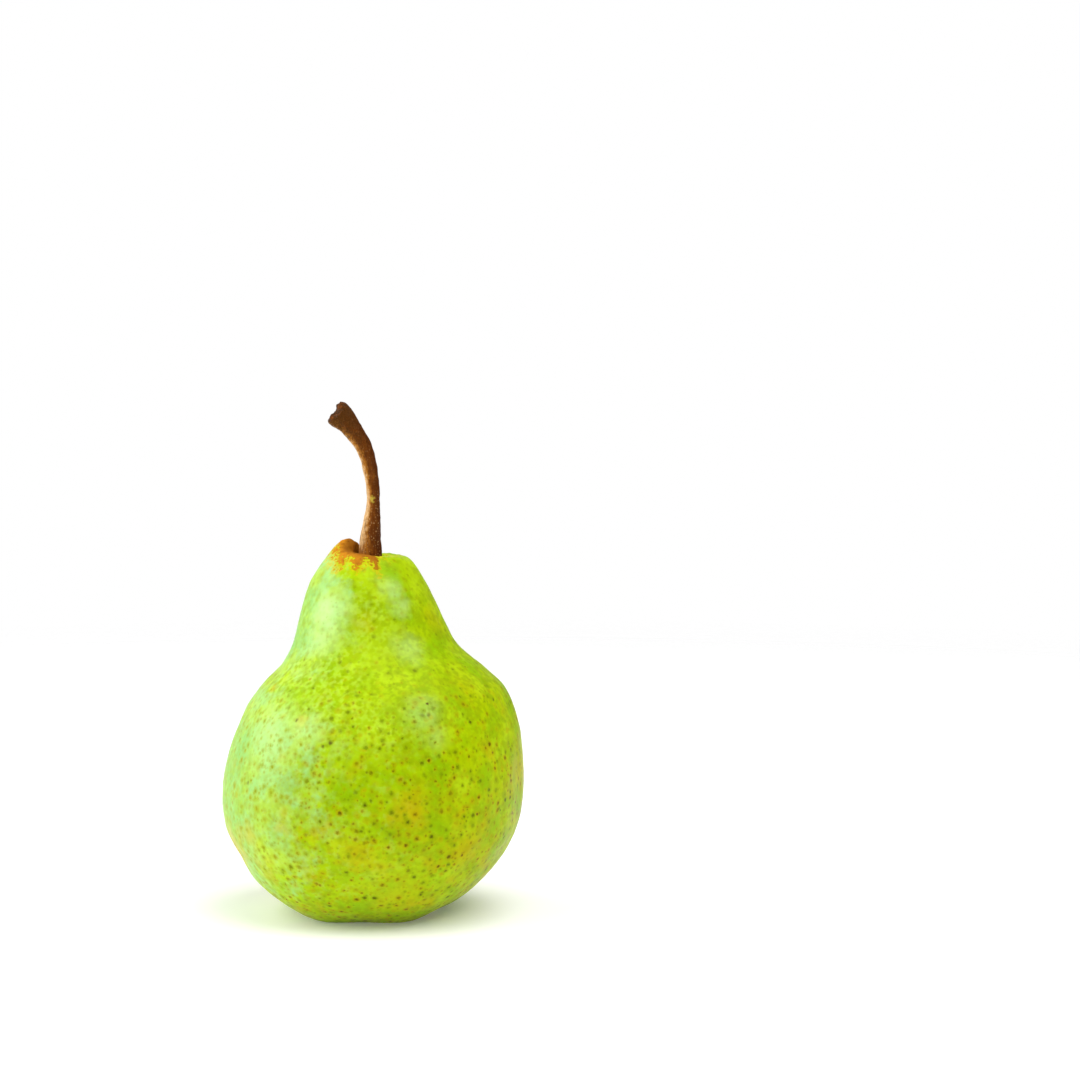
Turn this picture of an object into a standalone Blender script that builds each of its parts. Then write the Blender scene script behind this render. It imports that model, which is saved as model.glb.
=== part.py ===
"""A fresh pear that stands on its own base, with its woody stem and its dried calyx.

The fruit is one solid: an outline from the stem cavity down to the basin under the base, carried
around the upright axis, with a fleshy lip beside the stem and five soft lobes at the base. The
stem is a tapered curve. The dried flower parts sit in the basin. Origin: the middle of the floor
under the pear. +Z is up, and -Y is the front.
"""
import bpy
import bmesh
import numpy as np

MM = 0.001  # metres in a millimetre
GAP = 0.3  # mm between two pieces that touch on the real fruit

# Outline of the fruit in mm, from the middle of the stem cavity, over its rim, down the side and
# into the basin: radius, height, and how far the centre leans to +X at that height.
OUTLINE = (
    (0.0, 84.6, -0.4),
    (3.1, 84.6, -0.4),
    (4.4, 85.8, -0.4),
    (6.4, 87.0, -0.6),
    (8.9, 86.7, -0.6),
    (11.4, 84.6, -0.8),
    (14.2, 80.3, -1.1),
    (16.2, 75.1, -0.7),
    (18.0, 70.3, -0.1),
    (20.3, 65.1, 0.5),
    (24.8, 59.9, 1.8),
    (29.8, 54.9, 2.0),
    (33.3, 48.1, 1.3),
    (35.8, 39.5, 0.6),
    (36.8, 30.5, -0.1),
    (36.0, 22.1, -0.5),
    (32.6, 14.6, -0.8),
    (27.6, 7.6, -1.3),
    (21.2, 2.5, -1.2),
    (15.2, -0.3, -1.0),
    (11.4, -0.9, -1.0),
    (8.0, 0.0, -1.0),
    (5.6, 3.4, -1.0),
    (3.4, 5.0, -1.0),
    (0.0, 5.2, -1.0),
)
FRUIT_SEGMENTS = 48
ROWS_PER_STATION = 2
FLOOR = 0.0  # mm, the fruit is pressed flat here where it rests

LIP_AZIMUTH = 155  # degrees from +X: the fleshy lip stands behind and left of the stem
LIP_RISE = 4.6  # mm
LIP_SPREAD = 0.85  # radians
LIP_STATIONS = (1.0, 2.0, 6.4)  # outline stations where the lip starts, peaks and ends

LOBES = 5
LOBE_AZIMUTH = 300  # degrees
LOBE_DROP = 0.5  # mm, how far a base lobe hangs below the outline
LOBE_HEIGHT = 11.0  # mm, the height over which the lobes die out
LOBE_SWELL = 0.012  # part of the radius by which a lobe stands out above the base
SWELL_HEIGHT = 18.0  # mm, where it stands out most
SWELL_SPREAD = 16.0  # mm, the height over which that dies out
LOBE_RADIUS = 10.0  # mm, the radius from which a lobe hangs to its full depth

WAVE = 0.35  # mm, soft unevenness all round the fruit
WAVES_AROUND = 3
WAVE_TWIST = 0.07  # radians of azimuth for each mm of height
WAVE_CLIMB = 0.085  # radians of the upright wave for each mm of height
WAVE_START = (0.6, 0.5)  # radians, where the level and the upright wave start
WAVE_RADII = (6.0, 18.0)  # mm, between these radii the unevenness grows from nothing to full

# Middle line of the stem in mm, from the foot to the middle of the scar: x, y, z, radius.
STEM_ROUTE = (
    (-0.5, 0.0, 84.9, 2.6),
    (-0.6, 0.0, 88.0, 2.7),
    (-0.5, 0.0, 91.5, 2.5),
    (-0.1, 0.0, 95.5, 2.1),
    (0.2, 0.1, 99.5, 1.6),
    (0.2, 0.1, 103.5, 1.6),
    (-0.3, -0.1, 107.2, 1.7),
    (-1.2, -0.5, 111.4, 1.9),
    (-2.9, -0.9, 115.2, 2.1),
    (-5.2, -1.2, 118.5, 2.5),
    (-6.5, -1.4, 120.1, 2.65),
    (-8.0, -1.6, 121.6, 2.85),
    (-8.7, -1.7, 122.3, 2.6),
)
STEM_POINTS_PER_STATION = 2

BASIN_X = -1.0  # mm, the middle of the basin
DISC_RADIUS = 2.0
DISC_TOP = 4.7
DISC_THICK = 0.7

# Middle line of a sepal in mm, from the disc outwards: distance from the basin's middle, height,
# width.
SEPAL_LINE = (
    (2.3, 4.30, 2.1),
    (3.3, 4.15, 2.1),
    (4.3, 3.45, 1.8),
    (5.0, 2.40, 1.3),
    (5.2, 1.40, 0.6),
)
SEPALS = 5
SEPAL_THICK = 0.4
SEPAL_ROWS = 8
SEPAL_COLUMNS = 4
SEPAL_CUP = 0.35  # mm, how far the edges of a sepal bend towards the floor

TUFT_LENGTH = 1.8
TUFT_TOP_RADIUS = 0.8
TUFT_END_RADIUS = 1.3


def clear_scene():
    """Remove whatever the scene holds."""
    for thing in list(bpy.data.objects):
        bpy.data.objects.remove(thing, do_unlink=True)


def material(name, colour, roughness):
    """A plain Principled BSDF material."""
    made = bpy.data.materials.new(name)
    made.use_nodes = True
    shader = made.node_tree.nodes["Principled BSDF"]
    shader.inputs["Base Color"].default_value = (*colour, 1.0)
    shader.inputs["Roughness"].default_value = roughness
    shader.inputs["Metallic"].default_value = 0.0
    made.diffuse_color = (*colour, 1.0)
    return made


def smooth_step(value, start, end):
    """0 before start, 1 after end, and 3s^2 - 2s^3 of the way between them."""
    share = np.clip((value - start) / (end - start), 0.0, 1.0)
    return share * share * (3.0 - 2.0 * share)


def through(points, station):
    """Catmull-Rom curve through a list of points, read at station 0 .. len(points) - 1."""
    known = np.asarray(points, dtype=float)
    before = 2 * known[0] - known[1]
    after = 2 * known[-1] - known[-2]
    padded = np.vstack([before, known, after])
    station = np.clip(np.asarray(station, dtype=float), 0.0, len(known) - 1 - 1e-9)
    index = station.astype(int)
    part = (station - index)[..., None]
    a, b, c, d = (padded[index + k] for k in range(4))
    linear = (c - a) * part
    square = (2 * a - 5 * b + 4 * c - d) * part**2
    cube = (3 * b - a - 3 * c + d) * part**3
    return 0.5 * (2 * b + linear + square + cube)


def fruit_point(azimuth, station):
    """Points on the skin, in mm, for arrays of azimuths in radians and outline stations."""
    radius, height, lean = np.moveaxis(through(OUTLINE, station), -1, 0)

    lobe = np.cos(LOBES * (azimuth - np.radians(LOBE_AZIMUTH)))
    near_base = np.exp(-((height / LOBE_HEIGHT) ** 2)) * np.clip(radius / LOBE_RADIUS, 0.0, 1.0)
    above_base = np.exp(-(((height - SWELL_HEIGHT) / SWELL_SPREAD) ** 2))
    radius = radius * (1.0 + LOBE_SWELL * above_base * lobe)
    level = np.sin(WAVES_AROUND * azimuth + WAVE_TWIST * height + WAVE_START[0])
    upright = np.sin(WAVE_CLIMB * height + WAVE_START[1])
    radius = radius + WAVE * level * upright * smooth_step(radius, *WAVE_RADII)

    start, peak, end = LIP_STATIONS
    turn = np.angle(np.exp(1j * (azimuth - np.radians(LIP_AZIMUTH))))
    across = smooth_step(station, start, peak) * (1.0 - smooth_step(station, peak, end))
    lip = LIP_RISE * across * np.exp(-((turn / LIP_SPREAD) ** 2))

    x = lean + radius * np.cos(azimuth)
    y = radius * np.sin(azimuth)
    z = np.maximum(height - LOBE_DROP * near_base * lobe + lip, FLOOR)
    return np.stack([x, y, z], axis=-1)


def new_object(name, mesh, collection, finish):
    """Put a mesh into the collection as an object with one material."""
    made = bpy.data.objects.new(name, mesh)
    collection.objects.link(made)
    mesh.materials.append(finish)
    return made


def make_fruit(collection, finish):
    """A sphere whose rows follow the outline and whose columns follow the azimuth."""
    rows = ROWS_PER_STATION * (len(OUTLINE) - 1)
    cage = bmesh.new()
    bmesh.ops.create_uvsphere(cage, u_segments=FRUIT_SEGMENTS, v_segments=rows, radius=1.0)
    ball = np.array([corner.co[:] for corner in cage.verts])
    azimuth = np.arctan2(ball[:, 1], ball[:, 0])
    polar = np.arccos(np.clip(ball[:, 2], -1.0, 1.0))
    skin = fruit_point(azimuth, polar / np.pi * (len(OUTLINE) - 1))
    for corner, place in zip(cage.verts, skin):
        corner.co = place * MM
    bmesh.ops.recalc_face_normals(cage, faces=cage.faces)
    mesh = bpy.data.meshes.new("fruit")
    cage.to_mesh(mesh)
    cage.free()
    mesh.shade_smooth()
    return new_object("fruit", mesh, collection, finish)


def make_stem(collection, finish):
    """A tapered curve with filled caps: its foot stands in the cavity, its end is the scar."""
    steps = STEM_POINTS_PER_STATION * (len(STEM_ROUTE) - 1)
    route = through(STEM_ROUTE, np.linspace(0, len(STEM_ROUTE) - 1, steps + 1))
    curve = bpy.data.curves.new("stem", "CURVE")
    curve.dimensions = "3D"
    curve.bevel_depth = MM
    curve.bevel_resolution = 4
    curve.use_fill_caps = True
    spline = curve.splines.new("POLY")
    spline.points.add(len(route) - 1)
    for point, (x, y, z, radius) in zip(spline.points, route):
        point.co = (x * MM, y * MM, z * MM, 1.0)
        point.radius = radius
    return new_object("stem", curve, collection, finish)


def make_disc(collection, finish):
    """The dried eye: a low round plate with soft edges at the top of the basin."""
    plate = bmesh.new()
    bmesh.ops.create_cone(
        plate,
        cap_ends=True,
        segments=24,
        radius1=DISC_RADIUS * MM,
        radius2=DISC_RADIUS * MM,
        depth=DISC_THICK * MM,
    )
    mesh = bpy.data.meshes.new("calyx_disc")
    plate.to_mesh(mesh)
    plate.free()
    disc = new_object("calyx_disc", mesh, collection, finish)
    disc.location = (BASIN_X * MM, 0.0, (DISC_TOP - DISC_THICK / 2) * MM)
    soften = disc.modifiers.new("soft edge", "BEVEL")
    soften.width = 0.2 * MM
    soften.segments = 2
    return disc


def make_sepal(number, collection, finish):
    """A narrow strip that leaves the disc, bends down and ends in a blunt tip."""
    strip = bmesh.new()
    bmesh.ops.create_grid(strip, x_segments=SEPAL_ROWS, y_segments=SEPAL_COLUMNS, size=0.5)
    for corner in strip.verts:
        along = corner.co.x + 0.5
        side = corner.co.y * 2.0
        reach, height, width = through(SEPAL_LINE, along * (len(SEPAL_LINE) - 1))
        corner.co = (reach * MM, side * width / 2 * MM, (height - SEPAL_CUP * side**2) * MM)
    mesh = bpy.data.meshes.new(f"sepal_{number}")
    strip.to_mesh(mesh)
    strip.free()
    sepal = new_object(f"sepal_{number}", mesh, collection, finish)
    sepal.location = (BASIN_X * MM, 0.0, 0.0)
    sepal.rotation_euler = (0.0, 0.0, np.radians(LOBE_AZIMUTH + 360 / SEPALS * number))
    wall = sepal.modifiers.new("thickness", "SOLIDIFY")
    wall.thickness = SEPAL_THICK * MM
    wall.offset = 0.0
    return sepal


def make_tuft(collection, finish):
    """The dried stamens in the middle of the eye, as one small flared bundle."""
    bundle = bmesh.new()
    bmesh.ops.create_cone(
        bundle,
        cap_ends=True,
        segments=16,
        radius1=TUFT_END_RADIUS * MM,
        radius2=TUFT_TOP_RADIUS * MM,
        depth=TUFT_LENGTH * MM,
    )
    mesh = bpy.data.meshes.new("stamen_tuft")
    bundle.to_mesh(mesh)
    bundle.free()
    tuft = new_object("stamen_tuft", mesh, collection, finish)
    middle = DISC_TOP - DISC_THICK - GAP - TUFT_LENGTH / 2
    tuft.location = (BASIN_X * MM, 0.0, middle * MM)
    return tuft


def main():
    clear_scene()
    pear = bpy.data.collections.new("pear")
    bpy.context.scene.collection.children.link(pear)
    skin = material("pear_skin", (0.45, 0.58, 0.04), 0.4)
    bark = material("stem_bark", (0.14, 0.06, 0.025), 0.65)
    dried = material("dried_calyx", (0.07, 0.045, 0.025), 0.85)
    make_fruit(pear, skin)
    make_stem(pear, bark)
    make_disc(pear, dried)
    for number in range(1, SEPALS + 1):
        make_sepal(number, pear, dried)
    make_tuft(pear, dried)


main()
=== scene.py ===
# %% [markdown]
# # A fresh pear
#
# The frame holds the measured solids of a pear: its fruit, its woody stem and the dried flower
# parts under its base. This lesson gives every one of them a finely shaped surface and a finish
# made of nodes. All pieces stay where the frame puts them.

# %% Load the frame
import bpy
import numpy as np
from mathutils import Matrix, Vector


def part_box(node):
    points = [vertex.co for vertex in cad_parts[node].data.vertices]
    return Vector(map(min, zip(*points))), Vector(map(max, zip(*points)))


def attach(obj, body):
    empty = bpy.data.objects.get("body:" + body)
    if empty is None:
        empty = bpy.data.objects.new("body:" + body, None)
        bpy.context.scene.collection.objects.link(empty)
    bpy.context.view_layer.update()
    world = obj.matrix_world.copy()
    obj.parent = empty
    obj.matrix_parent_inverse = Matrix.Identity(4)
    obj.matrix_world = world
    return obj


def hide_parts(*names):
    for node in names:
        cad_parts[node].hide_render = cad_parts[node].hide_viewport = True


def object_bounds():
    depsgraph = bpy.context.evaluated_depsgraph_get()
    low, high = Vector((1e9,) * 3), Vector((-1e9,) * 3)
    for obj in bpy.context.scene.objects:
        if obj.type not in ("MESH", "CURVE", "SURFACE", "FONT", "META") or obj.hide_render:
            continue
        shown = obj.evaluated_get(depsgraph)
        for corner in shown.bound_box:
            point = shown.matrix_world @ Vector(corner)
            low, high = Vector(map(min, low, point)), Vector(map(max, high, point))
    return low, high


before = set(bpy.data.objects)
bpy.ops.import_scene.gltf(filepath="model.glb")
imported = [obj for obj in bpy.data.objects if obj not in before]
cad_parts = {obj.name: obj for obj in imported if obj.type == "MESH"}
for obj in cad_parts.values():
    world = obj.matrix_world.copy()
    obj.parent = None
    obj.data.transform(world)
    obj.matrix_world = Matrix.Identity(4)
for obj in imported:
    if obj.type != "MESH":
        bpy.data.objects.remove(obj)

MM = 0.001  # metres in a millimetre
cad_low, cad_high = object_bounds()
print("nodes:", sorted(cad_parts))
print("box, mm:", [round(side / MM, 1) for side in cad_high - cad_low])

# %% [markdown]
# ## Three tools for every shape
#
# A pear has no sharp outline, so each shape here starts from a few points and runs smoothly
# through them. Straight lines would show as rings on the skin. A Catmull-Rom curve passes through
# its points and needs no handles, so the numbers stay readable. The smooth step blends one shape
# into the next without a visible edge, and the bell raises one place and leaves the rest alone.

# %% Smooth curve, smooth step and bell
def smooth_step(value, start, end):
    """0 up to start, 1 from end on, and 3s^2 - 2s^3 at the share s of the way between."""
    share = np.clip((value - start) / (end - start), 0.0, 1.0)
    return share * share * (3.0 - 2.0 * share)


def bell(value, middle, width):
    """exp(-((value - middle) / width)^2): 1 at the middle and nearly 0 two widths away."""
    return np.exp(-(((value - middle) / width) ** 2))


def through(points, station):
    """Catmull-Rom curve through the points, read at station 0 .. len(points) - 1.

    Between points b and c, with a before and d after, at the share f of the way:
    (2b + (c - a) f + (2a - 5b + 4c - d) f^2 + (3b - a - 3c + d) f^3) / 2.
    """
    known = np.asarray(points, dtype=float)
    padded = np.vstack([2 * known[0] - known[1], known, 2 * known[-1] - known[-2]])
    station = np.clip(np.asarray(station, dtype=float), 0.0, len(known) - 1 - 1e-9)
    index = station.astype(int)
    part = (station - index)[..., None]
    a, b, c, d = (padded[index + k] for k in range(4))
    square = (2 * a - 5 * b + 4 * c - d) * part**2
    cube = (3 * b - a - 3 * c + d) * part**3
    return 0.5 * (2 * b + (c - a) * part + square + cube)


print("smooth step at a quarter:", smooth_step(0.25, 0.0, 1.0))

# %% [markdown]
# ## The fruit's outline
#
# A pear is nearly a turned shape, but a lathe's pear looks like a toy. The outline below gives the
# radius and the height, and also how far the middle leans to the right at that height: the
# shoulder sits further right than the base. It runs from the middle of the stem cavity, over the
# rim, down the side, and into the basin under the base.

# %% Outline in millimetres: radius, height, lean
OUTLINE = (
    (0.0, 84.6, -0.4),
    (3.1, 84.6, -0.4),
    (4.4, 85.8, -0.4),
    (6.4, 87.0, -0.6),
    (8.9, 86.7, -0.6),
    (11.4, 84.6, -0.8),
    (14.2, 80.3, -1.1),
    (16.2, 75.1, -0.7),
    (18.0, 70.3, -0.1),
    (20.3, 65.1, 0.5),
    (24.8, 59.9, 1.8),
    (29.8, 54.9, 2.0),
    (33.3, 48.1, 1.3),
    (35.8, 39.5, 0.6),
    (36.8, 30.5, -0.1),
    (36.0, 22.1, -0.5),
    (32.6, 14.6, -0.8),
    (27.6, 7.6, -1.3),
    (21.2, 2.5, -1.2),
    (15.2, -0.3, -1.0),
    (11.4, -0.9, -1.0),
    (8.0, 0.0, -1.0),
    (5.6, 3.4, -1.0),
    (3.4, 5.0, -1.0),
    (0.0, 5.2, -1.0),
)
LAST = len(OUTLINE) - 1
print("widest point of the outline:", max(OUTLINE))

# %% [markdown]
# ## From outline to fruit
#
# Three things break the turned shape, as they do on the tree. Five soft lobes at the base come
# from the five seed chambers. A slow wave runs round the body. And the flesh has grown up beside
# the stem into a lip, behind and to its left. Where the pear stands, it is pressed flat.

# %% The fruit as a function of azimuth and outline station
LOBES = 5
LOBE_AZIMUTH = np.radians(300)
LOBE_DROP = 0.5  # mm that a lobe hangs lower than the flesh beside it
LOBE_SWELL = 0.012  # share of the radius by which it stands out higher up
WAVE = 0.35  # mm
LIP_AZIMUTH, LIP_SPREAD, LIP_RISE = np.radians(155), 0.85, 4.6  # spread in radians, rise in mm
RIM_AZIMUTH, RIM_SPREAD, RIM_RISE = np.radians(240), 0.8, 0.9


def turn_between(azimuth, target):
    """The signed turn from target to azimuth, in radians, between -pi and pi."""
    return np.angle(np.exp(1j * (azimuth - target)))


def fruit_form(azimuth, station):
    """Points in mm: the outline carried round the axis. The radius is multiplied by
    1 + LOBE_SWELL cos 5a above the base and gets a wave round the body; the height drops by
    LOBE_DROP cos 5a near the base, and rises by a bell in azimuth at the lip and another at the
    front rim; nothing goes below 0."""
    radius, height, lean = np.moveaxis(through(OUTLINE, station), -1, 0)
    lobe = np.cos(LOBES * (azimuth - LOBE_AZIMUTH))
    near_base = bell(height, 0.0, 11.0) * np.clip(radius / 10.0, 0.0, 1.0)
    radius = radius * (1.0 + LOBE_SWELL * bell(height, 18.0, 16.0) * lobe)
    wave = np.sin(3 * azimuth + 0.07 * height + 0.6) * np.sin(0.085 * height + 0.5)
    radius = radius + WAVE * wave * smooth_step(radius, 6.0, 18.0)
    across = smooth_step(station, 1.0, 2.0) * (1.0 - smooth_step(station, 2.0, 6.4))
    lip = LIP_RISE * across * bell(turn_between(azimuth, LIP_AZIMUTH), 0.0, LIP_SPREAD)
    rim = smooth_step(station, 1.0, 3.0) * (1.0 - smooth_step(station, 3.0, 6.0))
    lip = lip + RIM_RISE * rim * bell(turn_between(azimuth, RIM_AZIMUTH), 0.0, RIM_SPREAD)
    x = lean + radius * np.cos(azimuth)
    y = radius * np.sin(azimuth)
    z = np.maximum(height - LOBE_DROP * near_base * lobe + lip, 0.0)
    return np.stack([x, y, z], axis=-1)


print("front rim, mm:", fruit_form(RIM_AZIMUTH, 3.0).round(1))

# %% [markdown]
# ## Soft unevenness
#
# Skin over growing flesh is never even: broad swells and shallow dents of a few tenths of a
# millimetre break up every highlight. Sculpting them by hand would not repeat from run to run. So
# a few placed swells make the plain bumps, and a sum of plane waves in random directions, from a
# fixed seed, makes the rest.

# %% Swells and waves
SWELLS = (  # azimuth in degrees, height, spread and rise in mm
    (224, 42, 12, 0.35),
    (246, 30, 9, -0.25),
    (289, 49, 9, 0.40),
    (301, 61, 6, 0.30),
    (237, 72, 7, 0.35),
    (268, 75, 5, -0.30),
    (294, 77, 5, 0.30),
    (20, 44, 12, 0.35),
    (62, 26, 11, -0.30),
    (95, 55, 12, 0.35),
    (130, 33, 12, -0.35),
    (160, 50, 10, 0.30),
    (345, 22, 9, -0.25),
)


def swells(azimuth, form):
    """Sum of bells: rise times exp(-d^2 / spread^2), d being the way over the skin."""
    radius = np.hypot(form[..., 0], form[..., 1])
    total = np.zeros(azimuth.shape)
    for degrees, height, spread, rise in SWELLS:
        sideways = turn_between(azimuth, np.radians(degrees)) * radius
        away = sideways**2 + (form[..., 2] - height) ** 2
        total += rise * np.exp(-away / spread**2)
    return total


def plane_waves(points, shortest, longest, count, seed):
    """Sum of sines across the points, in random directions, with wavelengths between the two
    lengths in mm; the sum's spread is about 1."""
    chance = np.random.default_rng(seed)
    heading = chance.normal(size=(count, 3))
    heading /= np.linalg.norm(heading, axis=1, keepdims=True)
    length = chance.uniform(shortest, longest, count)
    phase = chance.uniform(0.0, 2 * np.pi, count)
    total = np.zeros(points.shape[:-1])
    for direction, wavelength, start in zip(heading, length, phase):
        total += np.sin(points @ direction * (2 * np.pi / wavelength) + start)
    return total * np.sqrt(2.0 / count)


print("swells:", len(SWELLS))

# %% [markdown]
# ## One way to make a closed mesh
#
# Fruit, stem, disc and stamens are all rings of points, one after the other, closed by a single
# point at each end. The single end points matter: a ring shrunk to nothing would leave a pinhole
# and dark triangles at the pole. Faces have an outer side, so every piece hands its rings over
# from the top down.

# %% Rings to mesh
def turns(count):
    """That many even steps round a circle, from 0 to 2 pi."""
    return np.linspace(0.0, 2 * np.pi, count, endpoint=False)


def ring_faces(rows, around, base=0):
    """Quads between neighbouring rings and a fan at each end, wound to face outwards when the
    rings turn anticlockwise seen from the first end; base points come before them in the mesh."""
    here = np.arange(around)
    there = (here + 1) % around
    start = (np.arange(rows - 1) * around)[:, None] + 2
    quads = np.stack(
        [start + here, start + here + around, start + there + around, start + there], axis=-1
    ).reshape(-1, 4)
    last = 2 + (rows - 1) * around
    first_fan = np.stack([np.zeros_like(here), 2 + here, 2 + there], axis=-1)
    last_fan = np.stack([np.ones_like(here), last + there, last + here], axis=-1)
    return (quads + base).tolist() + (first_fan + base).tolist() + (last_fan + base).tolist()


def new_mesh(name, corners, faces):
    """Smooth mesh from corners in mm."""
    mesh = bpy.data.meshes.new(name)
    mesh.from_pydata((corners * MM).tolist(), [], faces)
    mesh.validate()
    mesh.shade_smooth()
    return mesh


def mesh_from_rings(name, first, rings, last):
    """Mesh of rings (rows, around, 3) between the end points first and last."""
    corners = np.vstack([first, last, rings.reshape(-1, 3)])
    return new_mesh(name, corners, ring_faces(*rings.shape[:2]))


def in_scene(name, data):
    """A new object in the scene, made of a mesh, light or camera."""
    thing = bpy.data.objects.new(name, data)
    bpy.context.scene.collection.objects.link(thing)
    return thing


def add_piece(name, mesh, slot, *nodes):
    """Put the mesh into the scene, riding on the one body, in place of the frame's nodes."""
    piece = in_scene(name, mesh)
    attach(piece, "root")
    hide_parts(*nodes)
    print(name, "faces:", len(mesh.polygons))
    return piece


print("faces of a barrel with 3 rings of 8:", len(ring_faces(3, 8)))

# %% [markdown]
# ## Relief on the skin
#
# Fine relief has to go along the surface's own normal, or it would slide sideways on the rim. It
# fades out where the pear touches the floor. In the basin the skin gathers into folds, and in the
# stem cavity it wrinkles.

# %% Relief as a function of the form
def outward(points):
    """Unit normals of a grid of points: the cross product of its two directions."""
    down = np.gradient(points, axis=0)
    wrapped = np.concatenate([points[:, -1:], points, points[:, :1]], axis=1)
    along = np.gradient(wrapped, axis=1)[:, 1:-1]
    normal = np.cross(down, along)
    return normal / np.maximum(np.linalg.norm(normal, axis=-1, keepdims=True), 1e-9)


def fruit_relief(azimuth, station, form):
    """Relief in mm along the normal: swells, plus 0.07 mm of waves 7 to 16 mm long, plus 0.02 mm
    of waves 2.5 to 5 mm long; folds of 0.22 mm in the basin; wrinkles of 0.1 mm in the cavity."""
    relief = swells(azimuth, form)
    relief += 0.07 * plane_waves(form, 7.0, 16.0, 48, seed=3)
    relief += 0.02 * plane_waves(form, 2.5, 5.0, 48, seed=4)
    basin = smooth_step(station, 20.5, 22.0) * (1.0 - smooth_step(station, 22.8, LAST))
    relief += 0.22 * basin * np.cos(2 * LOBES * (azimuth - LOBE_AZIMUTH) + 0.5)
    cavity = smooth_step(station, 1.2, 2.2) * (1.0 - smooth_step(station, 2.6, 4.5))
    relief += 0.10 * cavity * plane_waves(form, 1.2, 3.0, 40, seed=5)
    lifted = smooth_step(form[..., 2], 0.0, 2.0) + (station > 20.5)
    inside = smooth_step(station, 0.4, 1.4)
    return relief * np.minimum(lifted, 1.0) * inside


print("folds in the basin:", 2 * LOBES)

# %% [markdown]
# ## The fruit
#
# Now the function is read on a grid. The rings lie closer together where the outline bends
# quickly, at the cavity and the basin, since they follow the outline's stations.

# %% Make the fruit
AROUND = 384
ROWS = 250

azimuth_grid, station_grid = np.meshgrid(turns(AROUND), np.linspace(0.0, LAST, ROWS + 2)[1:-1])
form = fruit_form(azimuth_grid, station_grid)
facing = outward(form)
skin_points = form + facing * fruit_relief(azimuth_grid, station_grid, form)[..., None]
skin_points[..., 2] = np.maximum(skin_points[..., 2], 0.0)
pit = fruit_form(0.0, 0.0)
eye = fruit_form(0.0, float(LAST))
fruit = add_piece(
    "fruit_skin", mesh_from_rings("fruit_skin", pit, skin_points, eye), "pear_skin", "fruit"
)
print("fruit box, mm:", skin_points.min((0, 1)).round(1), skin_points.max((0, 1)).round(1))

# %% [markdown]
# ## Where the skin changes
#
# Russet is a thin corky skin. It fills the stem cavity, climbs over the lip, and runs a little way
# down the front in drips; another patch lines the basin. And the side that faces left gets a pale
# minty sheen painted into its colour, a painted highlight. Where these lie depends on the shape,
# not on a pattern, so it is worked out once and stored on the mesh. The material only adds the
# ragged edges.

# %% Store numbers for each point of the skin
CAVITY_MIDDLE = (-3.0, -1.6)
CAVITY_SIZE = (1.05, 1.10)  # to the side and to the front
DRIPS = (  # azimuth in degrees, length in mm, half width in degrees
    (232, 1.4, 9),
    (266, 2.3, 9),
    (294, 3.6, 7),
    (15, 1.8, 9),
    (88, 2.0, 9),
)


def store(mesh, name, values, ends=()):
    """Save one number for each corner of the mesh; ends are those of its two end points."""
    values = np.concatenate([ends, values.ravel()]).astype("f")
    mesh.attributes.new(name, "FLOAT", "POINT").data.foreach_set("value", values)


def cavity_way(points):
    """Plan distance from the cavity's middle, each direction divided by its size, plus 0.5 mm for
    each mm below the rim, less a bell in azimuth for each drip."""
    x = (points[:, 0] - CAVITY_MIDDLE[0]) / CAVITY_SIZE[0]
    y = (points[:, 1] - CAVITY_MIDDLE[1]) / CAVITY_SIZE[1]
    way = np.hypot(x, y) + 0.5 * np.maximum(84.5 - points[:, 2], 0.0)
    for degrees, length, half_width in DRIPS:
        turn = turn_between(np.arctan2(y, x), np.radians(degrees))
        way -= length * bell(turn, 0.0, np.radians(half_width))
    return way


def basin_way(points):
    """Plan distance from the basin's middle, plus 3 mm for each mm above a height of 7 mm."""
    return np.hypot(points[:, 0] + 1.0, points[:, 1]) + 3.0 * np.maximum(points[:, 2] - 7.0, 0.0)


def skin_leftward(form, facing):
    """How far the skin faces left, from -1 to 1: less what it faces up or down beyond 0.35, and
    up to 0.4 less on the back."""
    to_left = -facing[..., 0] - np.maximum(np.abs(facing[..., 2]) - 0.35, 0.0)
    return to_left - 0.4 * smooth_step(form[..., 1], 0.0, 25.0)


corners = np.vstack([pit, eye, skin_points.reshape(-1, 3)])
to_left = skin_leftward(form, facing)
store(fruit.data, "cavity_way", cavity_way(corners))
store(fruit.data, "basin_way", basin_way(corners))
store(fruit.data, "leftward", to_left, ends=(0, 0))
print("leftward runs from", to_left.min().round(2), "to", to_left.max().round(2))

# %% [markdown]
# ## Short names for shader nodes
#
# A finish is a tree of small nodes, and writing each link by hand hides the idea. This class keeps
# one material's tree and gives its steps names: noise or dots of a size in millimetres, fade, lay.
# Patterns read the object's own coordinates, so they stick to the piece.

# %% Finish: a material with named steps
def add_node(tree, kind, inputs=None, **settings):
    """One node; settings are its properties, inputs are values or outputs to plug in."""
    node = tree.nodes.new(kind)
    for name, value in settings.items():
        setattr(node, name, value)
    for name, value in (inputs or {}).items():
        if isinstance(value, bpy.types.NodeSocket):
            tree.links.new(value, node.inputs[name])
        else:
            node.inputs[name].default_value = value
    return node


def opaque(colour):
    """A colour of three numbers as four; an output stays as it is."""
    return colour if isinstance(colour, bpy.types.NodeSocket) else (*colour, 1.0)


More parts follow.
